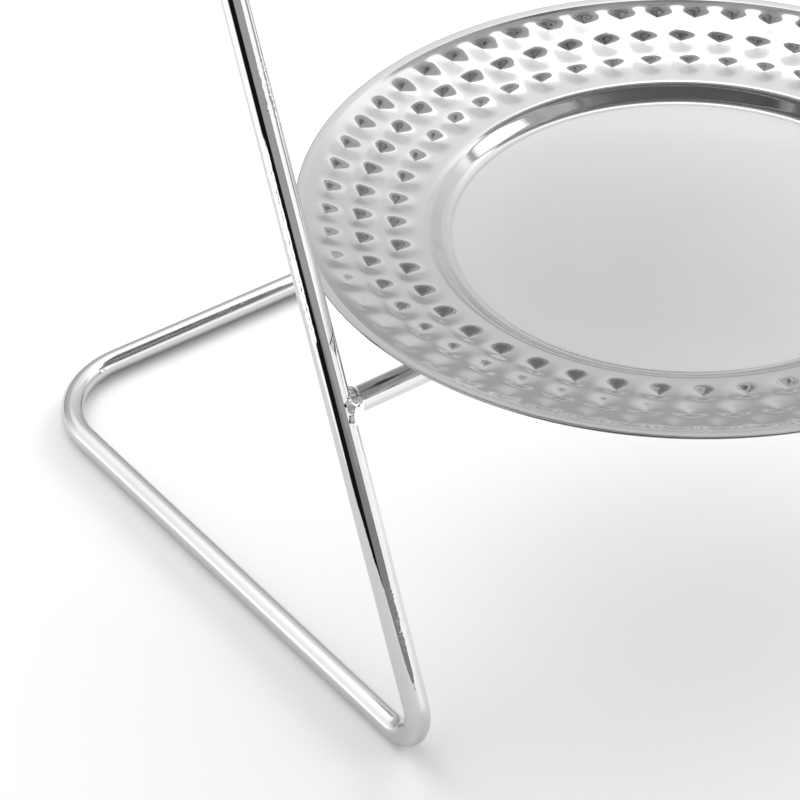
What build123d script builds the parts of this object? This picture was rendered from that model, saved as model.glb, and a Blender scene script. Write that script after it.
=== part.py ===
from build123d import *
from math import cos, radians, sin, tan
import os

# Tiered serving stand: a frame of bent round rod leans back over its own feet and carries
# pressed steel plates, each on a crossbar with a wire ring that its sloping well wall nests in.
# Millimetres. X runs across the stand, -Y is its front, Z is up from the table it stands on.
# The origin lies on the table, in the stand's middle plane, under the middle of its tiers.

# Plates
plate_diameter = 190.0
plate_floor_diameter = 115.0
well_wall_run = 5.8
well_wall_rise = 3.1
rim_rise = 7.9
sheet_thickness = 0.6
edge_roll_radius = 1.0
press_radius = 1.5

# Rod frame
rod_diameter = 6.35
plate_side_gap = 4.8
foot_length = 182.0
lean_angle = 20.8
front_bend_radius = 10.5
rear_bend_radius = 25.0
top_bend_radius = 25.0
bend_tail = 4.0

# Tiers, measured between the crossbars' centre lines
tier_names = ("lower", "middle", "upper")
first_bar_height = 90.0
tier_pitch = 110.0
handle_rise = 100.0

# Seats and welds
ring_wire_diameter = 4.0
floor_above_bar = 2.0
seat_clearance = 0.3
weld_root_gap = 0.1
bar_weld_radius = 4.8
ring_weld_radius = 3.0

# Places that follow from the sizes above
rod_radius = rod_diameter / 2
ring_wire_radius = ring_wire_diameter / 2
plate_radius = plate_diameter / 2
plate_floor_radius = plate_floor_diameter / 2
upright_x = plate_radius + plate_side_gap + rod_radius
lean = radians(lean_angle)
wall_slope = Vector(well_wall_run, well_wall_rise).normalized()
middle_bar_height = first_bar_height + tier_pitch * (len(tier_names) - 1) / 2
front_corner_y = -(middle_bar_height - rod_radius) * tan(lean)
rear_corner_y = front_corner_y + foot_length
top_bar_height = first_bar_height + tier_pitch * (len(tier_names) - 1) + handle_rise

# The wire ring stands on the crossbar and touches the well's wall, short of a clearance.
ring_centre_above_floor = weld_root_gap + ring_wire_radius - floor_above_bar
ring_reach = ring_wire_radius + seat_clearance + ring_centre_above_floor * wall_slope.X
ring_radius = plate_floor_radius + ring_reach / wall_slope.Y

up_the_lean = Vector(0, sin(lean), cos(lean))
front_bend_tangent = front_bend_radius / tan(radians(90 - lean_angle) / 2)
sides = {"left": -1, "right": 1}


def on_upright(height):
    """Y of an upright's centre line at a height above the table."""
    return front_corner_y + (height - rod_radius) * tan(lean)


os.makedirs("parts", exist_ok=True)

# Uprights: the straight runs of the frame rod, from the front bends to the top bends.
uprights = {}
for side_name, side in sides.items():
    front_corner = Vector(side * upright_x, front_corner_y, rod_radius)
    top_corner = Vector(side * upright_x, on_upright(top_bar_height), top_bar_height)
    upright_foot = front_corner + up_the_lean * (front_bend_tangent + bend_tail)
    upright_head = top_corner - up_the_lean * (top_bend_radius + bend_tail)
    with BuildPart() as upright:
        with BuildSketch(Plane(upright_foot, z_dir=up_the_lean)):
            Circle(rod_radius)
        extrude(amount=(upright_head - upright_foot).length)
    upright.part.label = side_name + "_upright"
    export_step(upright.part, "parts/" + upright.part.label + ".step")
    uprights[side_name] = upright.part

# Feet: tight front bend, straight run along the table, wider bend into the back bar.
for side_name, side in sides.items():
    front_corner = Vector(side * upright_x, front_corner_y, rod_radius)
    rear_corner = Vector(side * upright_x, rear_corner_y, rod_radius)
    foot_start = front_corner + up_the_lean * (front_bend_tangent + bend_tail)
    foot_end = rear_corner - Vector(side * (rear_bend_radius + bend_tail), 0, 0)
    with BuildPart() as foot:
        with BuildLine():
            FilletPolyline(
                foot_start,
                front_corner,
                rear_corner,
                foot_end,
                radius=(front_bend_radius, rear_bend_radius),
            )
        with BuildSketch(Plane(foot_start, z_dir=-up_the_lean)):
            Circle(rod_radius)
        sweep()
    foot.part.label = side_name + "_foot"
    export_step(foot.part, "parts/" + foot.part.label + ".step")

# Back bar: the straight run on the table between the rear bends.
back_bar_half = upright_x - rear_bend_radius - bend_tail
with BuildPart() as back_bar:
    with BuildSketch(Plane((-back_bar_half, rear_corner_y, rod_radius), z_dir=(1, 0, 0))):
        Circle(rod_radius)
    extrude(amount=2 * back_bar_half)
back_bar.part.label = "back_bar"
export_step(back_bar.part, "parts/back_bar.step")

# Top handle: the bar that closes the frame above the uprights and is the carrying grip.
top_left = Vector(-upright_x, on_upright(top_bar_height), top_bar_height)
top_right = Vector(upright_x, on_upright(top_bar_height), top_bar_height)
handle_drop = up_the_lean * (top_bend_radius + bend_tail)
with BuildPart() as top_handle:
    with BuildLine():
        FilletPolyline(
            top_left - handle_drop,
            top_left,
            top_right,
            top_right - handle_drop,
            radius=top_bend_radius,
        )
    with BuildSketch(Plane(top_left - handle_drop, z_dir=up_the_lean)):
        Circle(rod_radius)
    sweep()
top_handle.part.label = "top_handle"
export_step(top_handle.part, "parts/top_handle.step")

# Tiers: crossbar, wire ring, plate and the welds that hold bar and ring.
for tier, tier_name in enumerate(tier_names):
    bar_height = first_bar_height + tier * tier_pitch
    bar_y = on_upright(bar_height)
    bar_half = upright_x - rod_radius - weld_root_gap
    bar_top = bar_height + rod_radius
    floor_height = bar_top + floor_above_bar
    tier_axis = Axis((0, bar_y, 0), (0, 0, 1))

    # Crossbar: plain rod, cut square, between the two uprights.
    with BuildPart() as crossbar:
        with BuildSketch(Plane((-bar_half, bar_y, bar_height), z_dir=(1, 0, 0))):
            Circle(rod_radius)
        extrude(amount=2 * bar_half)
    crossbar.part.label = tier_name + "_crossbar"
    export_step(crossbar.part, "parts/" + crossbar.part.label + ".step")

    # Seat ring: thinner wire bent to a hoop and laid on top of the crossbar.
    with BuildPart() as seat_ring:
        with Locations((0, bar_y, bar_top + weld_root_gap + ring_wire_radius)):
            Torus(ring_radius, ring_wire_radius)
    seat_ring.part.label = tier_name + "_seat_ring"
    export_step(seat_ring.part, "parts/" + seat_ring.part.label + ".step")

    # Plate: flat floor, low sloping wall, wide rising rim and a rolled edge, in one sheet.
    edge_centre = (plate_radius - edge_roll_radius, well_wall_rise + rim_rise)
    with BuildPart() as plate:
        with BuildSketch(Plane((0, bar_y, floor_height), x_dir=(1, 0, 0), z_dir=(0, -1, 0))):
            with BuildLine():
                FilletPolyline(
                    (0, 0),
                    (plate_floor_radius, 0),
                    (plate_floor_radius + well_wall_run, well_wall_rise),
                    edge_centre,
                    radius=press_radius,
                )
                offset(amount=sheet_thickness, side=Side.LEFT)
            make_face()
            with Locations(edge_centre):
                Circle(edge_roll_radius)
        revolve(axis=tier_axis)
    plate.part.label = tier_name + "_plate"
    export_step(plate.part, "parts/" + plate.part.label + ".step")

    for side_name, side in sides.items():
        # Bar weld: the bead that fills the corner between the crossbar's end and the upright.
        with BuildPart() as bar_weld:
            with Locations((side * (upright_x - rod_radius), bar_y, bar_height)):
                Sphere(bar_weld_radius)
            add(uprights[side_name], mode=Mode.SUBTRACT)
            add(crossbar.part, mode=Mode.SUBTRACT)
        bar_weld.part.label = tier_name + "_" + side_name + "_bar_weld"
        export_step(bar_weld.part, "parts/" + bar_weld.part.label + ".step")

        # Ring weld: the small bead between the ring's wire and the crossbar under it.
        with BuildPart() as ring_weld:
            with Locations((side * ring_radius, bar_y, bar_top)):
                Sphere(ring_weld_radius)
            add(seat_ring.part, mode=Mode.SUBTRACT)
            add(crossbar.part, mode=Mode.SUBTRACT)
        ring_weld.part.label = tier_name + "_" + side_name + "_ring_weld"
        export_step(ring_weld.part, "parts/" + ring_weld.part.label + ".step")
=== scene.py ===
from math import atan2, cos, pi, radians, sin, sqrt, tan

import bmesh
import bpy
import numpy as np
from mathutils import Matrix, Vector
from mathutils.noise import noise as rough


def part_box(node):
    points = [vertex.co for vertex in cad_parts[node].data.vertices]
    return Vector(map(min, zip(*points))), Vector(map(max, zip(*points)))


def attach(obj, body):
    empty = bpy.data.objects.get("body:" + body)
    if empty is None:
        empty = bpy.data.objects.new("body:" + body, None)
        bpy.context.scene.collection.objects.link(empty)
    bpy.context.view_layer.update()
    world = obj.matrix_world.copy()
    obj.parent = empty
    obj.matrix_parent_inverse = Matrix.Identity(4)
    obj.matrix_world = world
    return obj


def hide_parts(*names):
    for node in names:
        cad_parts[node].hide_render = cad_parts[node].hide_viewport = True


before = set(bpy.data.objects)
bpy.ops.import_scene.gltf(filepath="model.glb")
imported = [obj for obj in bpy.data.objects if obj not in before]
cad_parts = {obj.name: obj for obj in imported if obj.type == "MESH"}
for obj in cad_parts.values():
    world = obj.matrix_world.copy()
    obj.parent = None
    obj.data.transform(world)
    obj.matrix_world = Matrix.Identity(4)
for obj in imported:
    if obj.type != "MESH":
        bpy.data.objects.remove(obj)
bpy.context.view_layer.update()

# Frame rod. One length of bright round steel bar, bent cold at six corners into a closed loop that
# stands on its own feet and leans back, butt-welded shut, ground smooth and chromed all over.
# It lies bare on the table, with a tight bend at each front foot and wider ones behind and on top.
bar_low, bar_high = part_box("back_bar")
left_low, left_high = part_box("left_upright")
rod_radius = (bar_high.z - bar_low.z) / 2
rod_sides = 72
bend_steps = 28
lean = radians(20.8)
foot_length = 0.182
front_bend = 0.0105
rear_bend = 0.025
top_bend = 0.025
upright_x = -(left_low.x + left_high.x) / 2
rear_y = (bar_low.y + bar_high.y) / 2
front_y = rear_y - foot_length
top_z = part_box("top_handle")[1].z - rod_radius
top_y = front_y + (top_z - rod_radius) * tan(lean)


def bent_line(corners, radii, closed=False, steps=bend_steps):
    """Points along straight runs joined by tangent arcs, as a bender leaves a bar."""
    corners = [Vector(corner) for corner in corners]
    count = len(corners)
    points = [] if closed else [corners[0]]
    bends = range(count) if closed else range(1, count - 1)
    for place, radius in zip(bends, radii):
        corner = corners[place]
        back = (corners[place - 1] - corner).normalized()
        ahead = (corners[(place + 1) % count] - corner).normalized()
        opening = back.angle(ahead)
        start = corner + back * radius / tan(opening / 2)
        centre = corner + (back + ahead).normalized() * radius / sin(opening / 2)
        for step in range(steps + 1):
            turn = (pi - opening) * step / steps
            points.append(centre + (start - centre) * cos(turn) - back * radius * sin(turn))
    if not closed:
        points.append(corners[-1])
    return points


def smooth_object(name, points, faces):
    """A smooth-shaded mesh object from plain lists of points and faces."""
    mesh = bpy.data.meshes.new(name)
    mesh.from_pydata([tuple(point) for point in points], [], faces)
    mesh.polygons.foreach_set("use_smooth", [True] * len(mesh.polygons))
    mesh.update()
    made = bpy.data.objects.new(name, mesh)
    bpy.context.scene.collection.objects.link(made)
    return made


def round_bar(name, line, radius, closed=False, sides=rod_sides, broken_edge=0.0003):
    """A bar of round section along a line. An open bar has square ends with the edge just broken."""
    line = [Vector(point) for point in line]
    radii = [radius] * len(line)
    if not closed:
        first = (line[1] - line[0]).normalized() * broken_edge
        last = (line[-1] - line[-2]).normalized() * broken_edge
        start = [line[0], line[0] + first, line[0] + 2 * first]
        end = [line[-1] - 2 * last, line[-1] - last, line[-1]]
        line = start + line[1:-1] + end
        radii = [radius - broken_edge] + [radius] * (len(line) - 2) + [radius - broken_edge]
    count = len(line)
    points = []
    across = None
    for place, spot in enumerate(line):
        before = line[place - 1] if closed or place else spot
        after = line[(place + 1) % count] if closed or place < count - 1 else spot
        along = (after - before).normalized()
        if across is None:
            across = along.orthogonal()
        across = (across - along * across.dot(along)).normalized()
        side = along.cross(across)
        for k in range(sides):
            turn = 2 * pi * k / sides
            points.append(spot + (across * cos(turn) + side * sin(turn)) * radii[place])
    slip = 0
    if closed:
        seam = [(points[-sides] - point).length for point in points[:sides]]
        slip = seam.index(min(seam))
    faces = []
    for place in range(count if closed else count - 1):
        here = place * sides
        there = (place + 1) % count * sides
        twist = slip if place == count - 1 else 0
        for k in range(sides):
            beside = (k + 1) % sides
            far_side = [there + (step + twist) % sides for step in (beside, k)]
            faces.append((here + k, here + beside, *far_side))
    if not closed:
        faces.append(tuple(reversed(range(sides))))
        faces.append(tuple(range((count - 1) * sides, count * sides)))
    return smooth_object(name, points, faces)


class Wire:
    """An output of a shader node. Arithmetic on it adds Math nodes, and node() adds any other node."""

    def __init__(self, tree, socket=None):
        self.tree = tree
        self.socket = socket

    def node(self, kind, settings, sockets, output=0):
        made = self.tree.nodes.new(kind)
        for name, value in settings.items():
            if name == "stops":
                while len(made.color_ramp.elements) < len(value):
                    made.color_ramp.elements.new(1.0)
                for stop, (place, grey) in zip(made.color_ramp.elements, value):
                    stop.position = place
                    stop.color = (grey, grey, grey, 1)
            else:
                setattr(made, name, value)
        for name, value in sockets.items():
            if isinstance(value, Wire):
                self.tree.links.new(value.socket, made.inputs[name])
            else:
                made.inputs[name].default_value = value
        return Wire(self.tree, made.outputs[output] if made.outputs else None)

    def other(self, output):
        """Another output of the same node."""
        return Wire(self.tree, self.socket.node.outputs[output])

    def math(self, operation, first, second=0.0):
        return self.node("ShaderNodeMath", {"operation": operation}, {0: first, 1: second})

    def __add__(self, more):
        return self.math("ADD", self, more)

    def __sub__(self, less):
        return self.math("SUBTRACT", self, less)

    def __rsub__(self, whole):
        return self.math("SUBTRACT", whole, self)

    def __mul__(self, times):
        return self.math("MULTIPLY", self, times)

    __radd__ = __add__
    __rmul__ = __mul__

    def step(self, low, high):
        """From 0 at low to 1 at high, smoothly. The two may be given in falling order."""
        settings = {"interpolation_type": "SMOOTHSTEP"}
        return self.node("ShaderNodeMapRange", settings, {"Value": self, "From Min": low, "From Max": high})

    def clouds(self, scale, detail=2.0):
        """Soft noise from 0 to 1 over this vector, with about this many clouds to the metre."""
        return self.node("ShaderNodeTexNoise", {}, {"Vector": self, "Scale": scale, "Detail": detail})

    def grey(self, low, high):
        """A grey colour from low to high by this share."""
        sockets = {0: self, 6: (low, low, low, 1), 7: (high, high, high, 1)}
        return self.node("ShaderNodeMix", {"data_type": "RGBA"}, sockets, 2)


def new_material(name):
    """An empty material, and a wire that its nodes are added from."""
    material = bpy.data.materials.new(name)
    material.use_nodes = True
    material.node_tree.nodes.clear()
    return material, Wire(material.node_tree)


bump_unit = 0.00001
grain_height = 0.4
scuff_depth = 13.0
scuff_fade = 0.004
strip_fade = 0.0006
right_x = 0.82
right_forward = 0.57


def chrome(name, shine, swell_height, pit_depth, haze, scuffs=()):
    """Bright plating: a faint swell from the steel beneath, fine pits in patches, and a little haze.
    A scuff is a strip of the left upright where the plating is ragged. It lies between two heights, and
    between two distances to the right of the rod's middle line, seen from the front left."""
    material, start = new_material(name)
    spot = start.node("ShaderNodeTexCoord", {}, {}, "Object")
    swell = spot.clouds(scale=110, detail=1.5)
    grain = spot.clouds(scale=1100, detail=2)
    patch = spot.clouds(scale=27, detail=1).step(0.58, 0.66)
    pits = spot.clouds(scale=1500, detail=1).step(0.60, 0.76) * patch
    smear = spot.clouds(scale=60, detail=3)
    height = swell * swell_height + grain * grain_height - pits * pit_depth
    for low, high, near, far in scuffs:
        split = start.node("ShaderNodeSeparateXYZ", {}, {0: spot})
        behind = split.other("Y") - front_y - (split.other("Z") - rod_radius) * tan(lean)
        to_right = (split + upright_x) * right_x - behind * right_forward
        along = split.other("Z").step(low, low + scuff_fade) * split.other("Z").step(high, high - scuff_fade)
        across = to_right.step(near, near + strip_fade) * to_right.step(far, far - strip_fade)
        left_half_only = split.step(0.0, -0.01)
        height = height - spot.clouds(scale=650, detail=2) * along * across * left_half_only * scuff_depth
    bump = start.node("ShaderNodeBump", {}, {"Strength": 1.0, "Distance": bump_unit, "Height": height})
    surface = start.node(
        "ShaderNodeBsdfPrincipled",
        {},
        {
            "Base Color": smear.grey(shine, shine + 0.06),
            "Metallic": 1.0,
            "Roughness": haze + 0.02 * smear + 0.08 * pits,
            "Normal": bump,
        },
    )
    start.node("ShaderNodeOutputMaterial", {}, {"Surface": surface})
    return material


right_half = [
    Vector((upright_x, rear_y, rod_radius)),
    Vector((upright_x, front_y, rod_radius)),
    Vector((upright_x, top_y, top_z)),
]
left_half = [Vector((-corner.x, corner.y, corner.z)) for corner in reversed(right_half)]
bends = [rear_bend, front_bend, top_bend]
frame_rod = round_bar(
    "frame_rod",
    bent_line(right_half + left_half, bends + bends[::-1], closed=True),
    rod_radius,
    closed=True,
)
scuffed = (
    (0.032, 0.052, 0.0005, 0.0040),
    (0.155, 0.173, 0.0002, 0.0040),
    (0.105, 0.155, -0.0040, -0.0006),
)
rod_chrome = chrome("rod_chrome", shine=0.62, swell_height=5.0, pit_depth=1.6, haze=0.01, scuffs=scuffed)
frame_rod.data.materials.append(rod_chrome)
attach(frame_rod, "frame")
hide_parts("left_upright", "right_upright", "left_foot", "right_foot", "back_bar", "top_handle")

# Crossbars. Short lengths of the same bar, sawn square and set between the uprights, one for each
# tier, before the frame is chromed.
tiers = ("lower", "middle", "upper")
for tier in tiers:
    low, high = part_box(tier + "_crossbar")
    middle = (low + high) / 2
    ends = [(low.x, middle.y, middle.z), (high.x, middle.y, middle.z)]
    crossbar = round_bar(tier + "_cross_rod", ends, rod_radius)
    crossbar.data.materials.append(rod_chrome)
    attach(crossbar, "frame")
    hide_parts(tier + "_crossbar")

# Bar welds. Hand-laid beads that fuse each crossbar's end to the upright: a few overlapping lumps
# of melted steel, not dressed afterwards, with the plating drawn thin and uneven over them.
# The welds' plating has a paler base than the rod's, a painted highlight that makes the lumps read white.
weld_chrome = chrome("weld_chrome", shine=0.93, swell_height=3.0, pit_depth=1.0, haze=0.10)

# The lumps' sizes and places are shares of the bead's size: a core, a collar of five round the bar's
# end, and a run of three up the front of the corner.
lump_sharpness = 7
bead_shake = 0.04
shake_scale = 2.5
core_lump = 0.80
collar_count = 5
collar_lump = 0.58
collar_reach = 0.36
collar_shift = 0.05
collar_wander = 0.2
collar_uneven = 0.2
run_lump = 0.50
run_rises = (-0.50, -0.05, 0.36)
run_shift = 0.36
run_forward = 0.44
run_wander = 0.05


def weld_bead(name, centre, lumps, seed, fineness):
    """The outer skin of overlapping round lumps about a centre, roughened a little."""
    ball = bmesh.new()
    bmesh.ops.create_icosphere(ball, subdivisions=fineness, radius=1.0)
    for corner in ball.verts:
        way = corner.co.normalized()
        reach = 0.0
        weights = 0.0
        for offset, size in lumps:
            along = offset.dot(way)
            inside = size * size - offset.length_squared + along * along
            if inside > 0:
                far = max(along + sqrt(inside), 0.0)
                reach += far ** lump_sharpness * far
                weights += far ** lump_sharpness
        shake = bead_shake * rough(way * shake_scale + Vector((seed, 0, 0)))
        corner.co = centre + way * reach / weights * (1 + shake)
    mesh = bpy.data.meshes.new(name)
    ball.to_mesh(mesh)
    ball.free()
    mesh.polygons.foreach_set("use_smooth", [True] * len(mesh.polygons))
    made = bpy.data.objects.new(name, mesh)
    bpy.context.scene.collection.objects.link(made)
    made.data.materials.append(weld_chrome)
    return made


for number, tier in enumerate(tiers):
    low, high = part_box(tier + "_crossbar")
    for side_name, side in (("left", -1), ("right", 1)):
        node = tier + "_" + side_name + "_bar_weld"
        weld_low, weld_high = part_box(node)
        size = (weld_high.z - weld_low.z) / 2
        joint = Vector((side * (upright_x - rod_radius), (low.y + high.y) / 2, (low.z + high.z) / 2))
        draws = np.random.default_rng(10 + 2 * number + (side > 0))
        lumps = [(Vector((0, 0, 0)), size * core_lump)]
        for turn in np.arange(collar_count) * 2 * pi / collar_count:
            wander = draws.uniform(-collar_wander, collar_wander, 3)
            offset = Vector((side * (collar_shift + wander[0]), cos(turn + wander[1]), sin(turn + wander[1])))
            lumps.append((offset * size * collar_reach, size * (collar_lump + collar_uneven * wander[2])))
        for rise in run_rises:
            wander = draws.uniform(-run_wander, run_wander, 2)
            outward = side * (run_shift + wander[0])
            offset = Vector((outward, rise * sin(lean) - run_forward, rise * cos(lean)))
            lumps.append((offset * size, size * (run_lump + wander[1])))
        bead_name = tier + "_" + side_name + "_bar_bead"
        weld = weld_bead(bead_name, joint, lumps, seed=3.0 * number + side, fineness=5)
        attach(weld, "frame")
        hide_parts(node)

# Seat rings. A hoop of thinner wire on each crossbar, its ends butted together. The plate's sloping
# well wall drops into it, so the plate can't slide or tip. Chromed with the frame.
hoop_steps = 240
wire_sides = 32
for tier in tiers:
    low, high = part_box(tier + "_seat_ring")
    centre = (low + high) / 2
    wire_radius = (high.z - low.z) / 2
    hoop_radius = (high.x - low.x) / 2 - wire_radius
    turns = np.arange(hoop_steps) * 2 * pi / hoop_steps
    hoop = [centre + Vector((cos(turn), sin(turn), 0)) * hoop_radius for turn in turns]
    ring = round_bar(tier + "_seat_hoop", hoop, wire_radius, closed=True, sides=wire_sides)
    ring.data.materials.append(rod_chrome)
    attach(ring, "frame")
    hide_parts(tier + "_seat_ring")

# Ring welds. Two small beads under each hoop, where its wire crosses the bar: quick tacks of a few
# drops from either side, left undressed and chromed over with the rest.
tack_core = 0.7
drop_count = 4
drop_size = 0.5
drop_reach = 0.4
drop_rise = 0.1
tack_turn = 0.3
for number, tier in enumerate(tiers):
    for side_name, side in (("left", -1), ("right", 1)):
        node = tier + "_" + side_name + "_ring_weld"
        low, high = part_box(node)
        size = (high.x - low.x) / 2
        joint = Vector(((low.x + high.x) / 2, (low.y + high.y) / 2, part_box(tier + "_crossbar")[1].z))
        lumps = [(Vector((0, 0, 0)), size * tack_core)]
        for turn in np.arange(drop_count) * 2 * pi / drop_count + tack_turn * number:
            lumps.append((Vector((cos(turn), sin(turn), drop_rise)) * size * drop_reach, size * drop_size))
        bead_name = tier + "_" + side_name + "_ring_bead"
        weld = weld_bead(bead_name, joint, lumps, seed=5.0 * number + side, fineness=4)
        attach(weld, "frame")
        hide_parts(node)

# Plates. Stainless sheet, pressed in one stroke to a flat floor, a low sloping wall and a wide rising
# rim with three rows of round hammer marks and a narrow lip, its cut edge darker in colour. The wall
# and rim are polished and the floor is left satin. Each plate lies loose in its ring and lifts out.
plate_low, plate_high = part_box("lower_plate")
plate_radius = (plate_high.x - plate_low.x) / 2
sheet = 0.0006
floor_radius = 0.0585
wall_radius = 0.0624
wall_rise = 0.0032
floor_press = 0.0040
wall_press = 0.0048
rim_start_slope = tan(radians(7))
rim_end_slope = tan(radians(17.5))
bend_start = 0.0638
bend_end = 0.0876
flare_start = 0.0897
lip_start_slope = tan(radians(26))
lip_radius = 0.0918
lip_slope = tan(radians(12))
lip_lead = 0.0005
lip_tuck = 0.0004
edge_radius = plate_radius - 0.0004
half_edge = 0.0003
upper_rounding = 0.9
lower_rounding = 0.8
satin_radius = 0.0571
rim_lead = 0.0020

# Each row of marks: its radius, how many, where the first one is in degrees, and their depth.
mark_rows = (
    (0.07096, 45, 65.43, 0.00073),
    (0.07949, 50, 65.31, 0.00078),
    (0.08728, 56, 67.80, 0.00068),
)
mark_out = 0.00266
mark_in = 0.00462
mark_half = 0.00414
mark_point = 0.75
mark_fullness = 2.2
mark_ease = 0.00015
marks_begin = 0.0647
marks_end = 0.0911
mark_rings = (0.07, 0.18, 0.32, 0.46, 0.60, 0.74, 0.86, 0.96, 1.06, 1.18, 1.32, 1.50)
corner_spokes = 4
cell_gap = 0.00005
plain_count = 288
hair = 0.00001

rim_foot = sheet + wall_rise
rim_gain = rim_end_slope - rim_start_slope
flare_gain = (lip_start_slope - rim_end_slope) / (lip_radius - flare_start) / 2


def rim_height(radius, turn):
    """Height of the rim's upper face above the floor's underside, with the hammer marks."""
    bent = np.clip((radius - bend_start) / (bend_end - bend_start), 0, 1)
    beyond = np.maximum(radius - bend_end, 0)
    flare = np.maximum(radius - flare_start, 0)
    height = rim_foot + (radius - wall_radius) * rim_start_slope + flare_gain * flare ** 2
    height = height + rim_gain * ((bend_end - bend_start) * (bent ** 3 - bent ** 4 / 2) + beyond)
    sunk = 1.0
    for row_radius, count, first, depth in mark_rows:
        pitch = 2 * pi / count
        nearest = (turn - radians(first) + pitch / 2) % pitch - pitch / 2
        radial = radius - row_radius
        side = np.abs(radial) / np.where(radial > 0, mark_out, mark_in)
        for around in (nearest, nearest - np.where(nearest > 0, pitch, -pitch)):
            along = np.abs(around * row_radius / mark_half)
            away = (along ** mark_fullness + side ** mark_fullness) ** (1 / mark_fullness)
            bowl = depth * (mark_point * away + (1 - mark_point) * away ** 2 - 1)
            sunk = sunk + np.exp(-bowl / mark_ease)
    return height - mark_ease * np.log(sunk)


class SheetFace:
    """One face of the plate, gathered from the middle outwards."""

    def __init__(self, drop):
        self.drop = drop
        self.points = [Vector((0, 0, sheet - drop))]
        self.normals = [Vector((0, 0, 0))]
        self.faces = []
        self.last = [0] * plain_count

    def ring(self, radius, height):
        """A plain ring of points, joined to the border before it."""
        first = len(self.points)
        for k in range(plain_count):
            turn = 2 * pi * k / plain_count
            self.points.append(Vector((radius * cos(turn), radius * sin(turn), height)))
            self.normals.append(Vector((0, 0, 0)))
        self.join(list(range(first, len(self.points))))

    def on_rim(self, radii, turns):
        """Points on the hammered rim, with the normals of the true surface."""
        heights = rim_height(radii, turns)
        slopes = (rim_height(radii + hair, turns) - rim_height(radii - hair, turns)) / (2 * hair)
        twist = hair / radii
        leans = (rim_height(radii, turns + twist) - rim_height(radii, turns - twist)) / (2 * hair)
        for radius, turn, height, slope, side_slope in zip(radii, turns, heights, slopes, leans):
            out = Vector((cos(turn), sin(turn), 0))
            across = Vector((-sin(turn), cos(turn), 0))
            self.points.append(out * radius + Vector((0, 0, height - self.drop)))
            self.normals.append((Vector((0, 0, 1)) - out * slope - across * side_slope).normalized())

    def rim_ring(self, radius):
        """A ring of points on the rim, joined to the border before it."""
        first = len(self.points)
        self.on_rim(np.full(plain_count, radius), np.arange(plain_count) * 2 * pi / plain_count)
        self.join(list(range(first, len(self.points))))

    def join(self, border):
        """Faces from the last border to this one: quads where the counts match, or else triangles."""
        inner = self.last
        if len(inner) == len(border):
            for k in range(len(border)):
                beside = (k + 1) % len(border)
                face = (inner[k], border[k], border[beside], inner[beside])
                self.faces.append(tuple(dict.fromkeys(face)))
        else:
            turn_in = self.turns(inner)
            turn_out = self.turns(border)
            a = b = 0
            while a < len(inner) or b < len(border):
                face = (inner[a % len(inner)], border[b % len(border)])
                next_in = turn_in[(a + 1) % len(inner)] + 2 * pi * ((a + 1) // len(inner))
                next_out = turn_out[(b + 1) % len(border)] + 2 * pi * ((b + 1) // len(border))
                if b >= len(border) or (a < len(inner) and next_in < next_out):
                    a += 1
                    self.faces.append(face + (inner[a % len(inner)],))
                else:
                    b += 1
                    self.faces.append(face + (border[b % len(border)],))
        self.last = border

    def turns(self, border):
        """Where each point of a border lies round the plate."""
        return [atan2(self.points[k].y, self.points[k].x) % (2 * pi) for k in border]

    def in_order(self, border):
        """A border's points, put in order round the plate."""
        return [k for turn, k in sorted(zip(self.turns(border), border))]

    def hammer_marks(self, row_radius, count, first, begin, end):
        """A row of cells with a mark in each: spokes from its middle, and rings that follow its bowl."""
        half_width = pi * row_radius / count
        row_out = end - cell_gap - row_radius
        row_in = row_radius - begin - cell_gap
        out_corner = atan2(row_out, half_width)
        in_corner = atan2(row_in, half_width)
        keys = [0, out_corner, pi / 2, pi - out_corner, pi]
        keys += [pi + in_corner, 3 * pi / 2, 2 * pi - in_corner, 2 * pi]
        spokes = []
        for low, high in zip(keys, keys[1:]):
            spokes += [low + (high - low) * k / corner_spokes for k in range(corner_spokes)]
        places = []
        known = {}
        low_border = set()
        high_border = set()
        base = len(self.points)

        def place(tangential, radial, cell):
            turn = radians(first) + cell * 2 * pi / count + tangential / row_radius
            key = (round(turn % (2 * pi), 6) % round(2 * pi, 6), round(radial, 8))
            if key not in known:
                known[key] = base + len(places)
                places.append((row_radius + radial, turn))
            return known[key]

        for cell in range(count):
            bottom = place(0, 0, cell)
            before = None
            for size in mark_rings + (None,):
                here = []
                for spoke in spokes:
                    c = cos(spoke)
                    s = sin(spoke)
                    side = row_out if s > 0 else row_in
                    border = min(half_width / max(abs(c), 1e-9), side / max(abs(s), 1e-9))
                    reach = border
                    if size is not None:
                        along = abs(c) / mark_half
                        over = abs(s) / (mark_out if s > 0 else mark_in)
                        brink = (along ** mark_fullness + over ** mark_fullness) ** (-1 / mark_fullness)
                        reach = min(size * brink, border * (0.93 + 0.04 * size))
                    here.append(place(c * reach, s * reach, cell))
                    if size is None and abs(abs(s * reach) - side) < 1e-7:
                        (high_border if s > 0 else low_border).add(here[-1])
                for k in range(len(spokes)):
                    beside = (k + 1) % len(spokes)
                    if before is None:
                        self.faces.append((bottom, here[beside], here[k]))
                    else:
                        self.faces.append((before[k], before[beside], here[beside], here[k]))
                before = here
        radii, turns = np.array(places).T
        self.on_rim(radii, turns)
        self.join(self.in_order(low_border))
        self.last = self.in_order(high_border)


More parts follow.
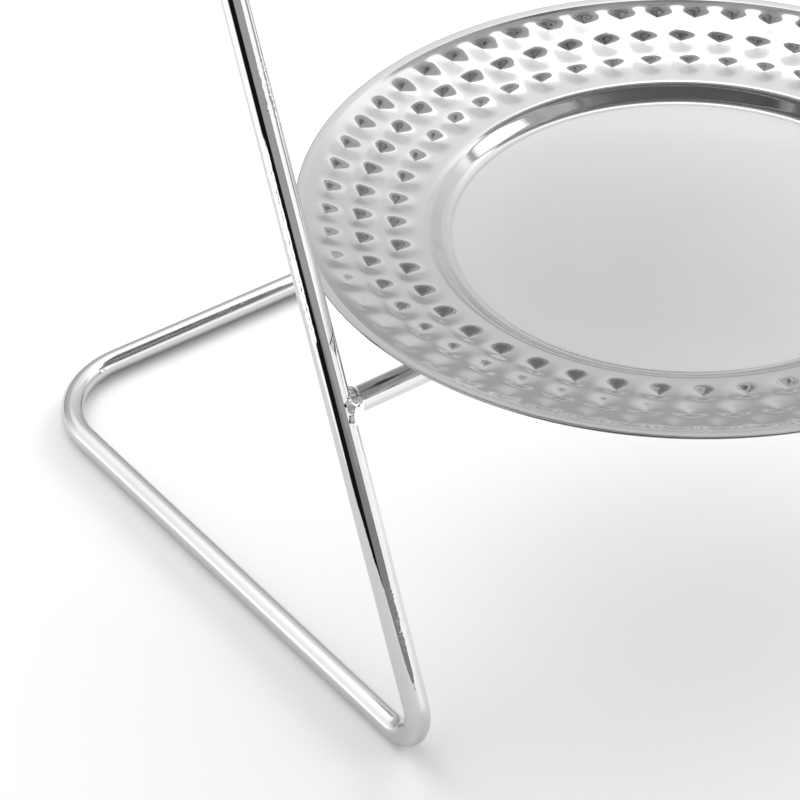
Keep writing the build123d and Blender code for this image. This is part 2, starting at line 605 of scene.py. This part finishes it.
def pressed_face(drop):
    """The floor, wall and hammered rim of the upper face, or of the under face a sheet lower."""
    skin = SheetFace(drop)
    foot = wall_radius + rim_lead
    well = bent_line(
        [
            (floor_radius * 0.3, 0, sheet - drop),
            (floor_radius, 0, sheet - drop),
            (wall_radius, 0, rim_foot - drop),
            (foot, 0, rim_foot + (foot - wall_radius) * rim_start_slope - drop),
        ],
        [floor_press, wall_press],
        steps=10,
    )
    for point in well[:-1]:
        skin.ring(point.x, point.z)
    for radius in np.linspace(well[-2].x, marks_begin, 4)[1:]:
        skin.rim_ring(radius)
    out_share = mark_out / (mark_out + mark_in)
    rows = [row_radius for row_radius, count, first, depth in mark_rows]
    ridges = [low + (high - low) * out_share for low, high in zip(rows, rows[1:])]
    for row, begin, end in zip(mark_rows, [marks_begin] + ridges, ridges + [marks_end]):
        skin.hammer_marks(*row[:3], begin, end)
    for radius in np.linspace(marks_end, lip_radius, 5):
        skin.rim_ring(radius)
    return skin


upper = pressed_face(0.0)
under = pressed_face(sheet)
lip_height = float(rim_height(lip_radius, 0.0))
edge_height = lip_height + (edge_radius - lip_radius) * lip_slope
lip = bent_line(
    [
        (lip_radius, 0, lip_height),
        (lip_radius + lip_lead, 0, lip_height + lip_lead * lip_start_slope),
        (edge_radius, 0, edge_height),
        (edge_radius, 0, edge_height - 2 * half_edge),
        (lip_radius + lip_tuck, 0, edge_height - 2 * half_edge),
        (lip_radius + lip_tuck / 2, 0, lip_height - sheet - lip_tuck / 2),
    ],
    [lip_lead, half_edge * upper_rounding, half_edge * lower_rounding, half_edge],
    steps=6,
)
for point in lip[1:]:
    upper.ring(point.x, point.z)
shift = len(upper.points)
plate_points = upper.points + under.points
plate_normals = upper.normals + [-normal for normal in under.normals]
plate_faces = upper.faces + [tuple(k + shift for k in reversed(face)) for face in under.faces]
upper_end = upper.last
under_end = [k + shift for k in under.last]
for k in range(plain_count):
    beside = (k + 1) % plain_count
    plate_faces.append((upper_end[k], under_end[k], under_end[beside], upper_end[beside]))


satin_fade = 0.0009
satin_roughness = 0.50
satin_grain = 1.2
sheet_swell = 2.0
smear_paleness = 0.05
upper_shine = 0.62
satin_paleness = 0.18
edge_darkening = 0.40
cut_edge_start = 0.00025
cut_edge_full = 0.0001
# The under face is a darker copy of the same steel: painted shade, darkest in the middle and a little darker
# over the seat ring.
under_painted_shade_tone = 0.38
under_middle_painted_shade = 0.15
under_middle_fade = (0.0535, 0.0480)
seat_painted_shade = 0.025
seat_outer_fade = (0.0665, 0.0645)
seat_inner_fade = (0.0580, 0.0560)


def plate_steel(name, is_under_face):
    """Polished steel with a satin middle of fine even grain. The upper face is darker at its cut edge. The
    under face is a darker copy with painted shade, darkest in the middle and a little darker over the seat
    ring."""
    material, start = new_material(name)
    spot = start.node("ShaderNodeTexCoord", {}, {}, "Object")
    smear = spot.clouds(scale=45, detail=3)
    grain = spot.clouds(scale=3500, detail=2)
    flat = start.node("ShaderNodeVectorMath", {"operation": "MULTIPLY"}, {0: spot, 1: (1, 1, 0)})
    away = start.node("ShaderNodeVectorMath", {"operation": "LENGTH"}, {0: flat}, "Value")
    satin = away.step(satin_radius, satin_radius - satin_fade)
    height = grain * satin * satin_grain + spot.clouds(scale=110, detail=0.5) * sheet_swell
    roughness = 0.07 + 0.02 * smear + satin * satin_roughness
    if is_under_face:
        # Painted shade: the under face is darkened as a whole, more in its middle and a little more over the
        # seat ring.
        seat = away.step(*seat_outer_fade) - away.step(*seat_inner_fade)
        middle = away.step(*under_middle_fade)
        shade = under_painted_shade_tone + smear * smear_paleness - middle * under_middle_painted_shade - seat * seat_painted_shade
        metal = 1.0
    else:
        # The upper face is darker in colour at its cut edge.
        edge = away.step(edge_radius - cut_edge_start, edge_radius - cut_edge_full)
        shade = upper_shine + smear * smear_paleness + satin * satin_paleness - edge * edge_darkening
        metal = 1 - satin * 0.5
    tone = shade.grey(0.0, 1.0)
    bump = start.node("ShaderNodeBump", {}, {"Strength": 1.0, "Distance": bump_unit, "Height": height})
    sockets = {"Base Color": tone, "Metallic": metal, "Roughness": roughness, "Normal": bump}
    surface = start.node("ShaderNodeBsdfPrincipled", {}, sockets)
    start.node("ShaderNodeOutputMaterial", {}, {"Surface": surface})
    return material


upper_finish = plate_steel("plate_polished", is_under_face=False)
under_painted_shade_material = plate_steel("plate_under_painted_shade", is_under_face=True)

# How far each plate happens to be turned in its ring, in degrees.
turned = {"lower": 0.0, "middle": 23.0, "upper": -41.0}
for tier in tiers:
    node = tier + "_plate"
    low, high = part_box(node)
    turn = Matrix.Rotation(radians(turned[tier]), 3, "Z")
    plate = smooth_object(tier + "_pressed_plate", [turn @ point for point in plate_points], plate_faces)
    plate.data.normals_split_custom_set_from_vertices([turn @ normal for normal in plate_normals])
    plate.data.materials.append(upper_finish)
    plate.data.materials.append(under_painted_shade_material)
    for face in plate.data.polygons[len(upper.faces):]:
        face.material_index = 1
    middle = (low + high) / 2
    plate.location = (middle.x, middle.y, low.z)
    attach(plate, node)
    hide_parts(node)

# Floor. A plain white paper sweep under the stand. In the metal it ends close to the front and left of
# the stand, so that the dim room past its edge is mirrored there, and in the metal it also carries painted
# light at the front right and painted shade close beside the plates.
floor_half = 6.0
paper_white = 0.80
paper_painted_shade = 0.22
paper_lift = 0.07
painted_light_lift = 0.38
edge_fade = 0.004
lower_low, lower_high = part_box("lower_crossbar")
lower_y = (lower_low.y + lower_high.y) / 2
sweep_left = -0.30
sweep_front = lower_y - 0.25
floor = smooth_object(
    "floor",
    [(floor_half * x, floor_half * y, 0) for x, y in ((-1, -1), (1, -1), (1, 1), (-1, 1))],
    [(0, 1, 2, 3)],
)
floor_white, start = new_material("floor_white")
spot = start.node("ShaderNodeTexCoord", {}, {}, "Object")
split = start.node("ShaderNodeSeparateXYZ", {}, {0: spot})
ray = start.node("ShaderNodeLightPath", {}, {}, "Is Camera Ray")
mirrored = ray.other("Is Glossy Ray")
right = split
back = split.other("Y")
past_left = right.step(sweep_left, sweep_left - edge_fade)
past_front = back.step(sweep_front, sweep_front - edge_fade)
past = mirrored * (1 - (1 - past_left) * (1 - past_front))
# Painted shade: close beside the plates the paper is darker, but only where the metal mirrors it.
beside = right.step(0.03, 0.07) * back.step(0.17, 0.03) * back.step(-0.06, -0.01)
colour = (beside * mirrored).grey(paper_white, paper_painted_shade)
paper = start.node("ShaderNodeBsdfPrincipled", {}, {"Base Color": colour, "Roughness": 0.9})
# Painted light: at the front right the paper glows brighter, but only where the metal mirrors it.
painted_light_front_right = right.step(-0.11, -0.03) * back.step(0.02, -0.06)
shine = (ray * paper_lift + mirrored * painted_light_front_right * painted_light_lift).grey(0.0, 1.0)
lift_and_painted_light = start.node("ShaderNodeEmission", {}, {"Color": shine, "Strength": 1.0})
sweep = start.node("ShaderNodeAddShader", {}, {0: paper, 1: lift_and_painted_light})
gone = start.node("ShaderNodeBsdfTransparent", {}, {})
surface = start.node("ShaderNodeMixShader", {}, {0: past, 1: sweep, 2: gone})
start.node("ShaderNodeOutputMaterial", {}, {"Surface": surface})
floor.data.materials.append(floor_white)

# Studio. Pale walls, a broad soft light high behind the stand and another on its right, and a dim
# camera side, darkest to the left of the camera.
studio = bpy.data.worlds.new("studio")
bpy.context.scene.world = studio
studio.use_nodes = True
studio.node_tree.nodes.clear()
start = Wire(studio.node_tree)
way = start.node("ShaderNodeTexCoord", {}, {}, "Generated")
split = start.node("ShaderNodeSeparateXYZ", {}, {0: way})
bearing = start.math("ARCTAN2", split, split.other("Y")) * (0.5 / pi) + 0.5
rise = start.math("ARCSINE", split.other("Z")) * (180 / pi)


def round_the_room(levels):
    """Light by bearing in degrees, with 0 straight behind the stand and 90 on its right."""
    stops = [(bearing_degrees / 360 + 0.5, level) for bearing_degrees, level in levels]
    return start.node("ShaderNodeValToRGB", {"stops": stops}, {0: bearing})


ground = round_the_room(
    [
        (-180, 0.31), (-141, 0.31), (-137, 0.01), (-102, 0.01), (-93, 1.7), (-45, 1.5),
        (-25, 0.6), (-10, 0.38), (50, 0.38), (60, 0.5), (122, 0.5), (124, 0.1),
        (126, 1.35), (162, 1.35), (166, 0.1), (168, 0.31), (180, 0.31),
    ]
)
skirting = round_the_room(
    [
        (-180, 0.48), (-141, 0.48), (-137, 0.01), (-102, 0.01), (-93, 1.8), (-45, 1.6),
        (-25, 0.9), (-10, 0.5), (50, 0.5), (60, 0.75), (122, 0.8), (124, 0.1),
        (126, 1.5), (162, 1.5), (166, 0.1), (168, 0.48), (180, 0.48),
    ]
)
walls = round_the_room(
    [
        (-180, 0.5), (-130, 0.5), (-100, 0.5), (-92, 1.2), (-35, 1.25), (-12, 0.7),
        (15, 0.65), (34, 0.68), (44, 0.86), (60, 0.88), (75, 0.95), (92, 0.95),
        (98, 1.5), (138, 1.5), (146, 0.6), (180, 0.5),
    ]
)
cornice = round_the_room(
    [
        (-180, 0.45), (-110, 0.45), (-92, 1.2), (-30, 1.4), (10, 1.35), (36, 1.1),
        (60, 1.2), (90, 1.6), (140, 1.8), (150, 0.5), (180, 0.5),
    ]
)
lamps = round_the_room(
    [
        (-180, 0.42), (-120, 0.42), (-95, 1.2), (-60, 1.4), (-15, 2.0), (50, 2.0),
        (62, 1.6), (104, 1.9), (148, 1.9), (156, 0.4), (180, 0.42),
    ]
)
ceiling = 0.4
room = ground
for band, low, high in ((skirting, -3, 0), (walls, 8, 28), (cornice, 30, 43), (lamps, 44, 56)):
    share = rise.step(low, high)
    room = room * (1 - share) + band * share
overhead = rise.step(74, 80)
room = room * (1 - overhead) + ceiling * overhead
ray = start.node("ShaderNodeLightPath", {}, {}, "Is Camera Ray")
light = room * (1 - ray) + ray
glow = start.node("ShaderNodeBackground", {}, {"Color": (1, 1, 1, 1), "Strength": light})
start.node("ShaderNodeOutputWorld", {}, {"Surface": glow})


softbox_distance = 1.6


def softbox(name, bearing_degrees, rise_degrees, width, height, energy):
    """A soft lamp turned to the stand. The metal mirrors the walls and not the lamp."""
    turn = radians(bearing_degrees)
    tilt = radians(rise_degrees)
    way = Vector((sin(turn) * cos(tilt), cos(turn) * cos(tilt), sin(tilt)))
    lamp = bpy.data.objects.new(name, bpy.data.lights.new(name, "AREA"))
    lamp.data.shape = "RECTANGLE"
    lamp.data.size = width
    lamp.data.size_y = height
    lamp.data.energy = energy
    lamp.location = way * softbox_distance
    lamp.rotation_mode = "QUATERNION"
    lamp.rotation_quaternion = way.to_track_quat("Z", "Y")
    lamp.visible_glossy = False
    bpy.context.scene.collection.objects.link(lamp)


softbox("back_softbox", bearing_degrees=5, rise_degrees=52, width=1.3, height=0.7, energy=5)
softbox("side_softbox", bearing_degrees=72, rise_degrees=26, width=1.0, height=0.6, energy=15)

# Camera. A long lens about 0.8 m off at the front left, held almost level and looking down at the
# lower plate and its side of the frame.
camera_place = Vector((-0.4371, lower_y - 0.5003, 0.5555))
look_down = radians(37.63)
look_right = radians(35.07)
roll = radians(1.48)
ahead = Vector((sin(look_right) * cos(look_down), cos(look_right) * cos(look_down), -sin(look_down)))
level = Vector((cos(look_right), -sin(look_right), 0))
down = ahead.cross(level)
across = level * cos(roll) + down * sin(roll)
upward = level * sin(roll) - down * cos(roll)
camera = bpy.data.objects.new("camera", bpy.data.cameras.new("camera"))
camera.data.sensor_width = 36
camera.data.lens = 148.55
camera.data.clip_start = 0.01
facing = Matrix((across, upward, -ahead)).transposed().to_4x4()
camera.matrix_world = Matrix.Translation(camera_place) @ facing
bpy.context.scene.collection.objects.link(camera)
bpy.context.scene.camera = camera
bpy.context.scene.view_settings.view_transform = "Standard"
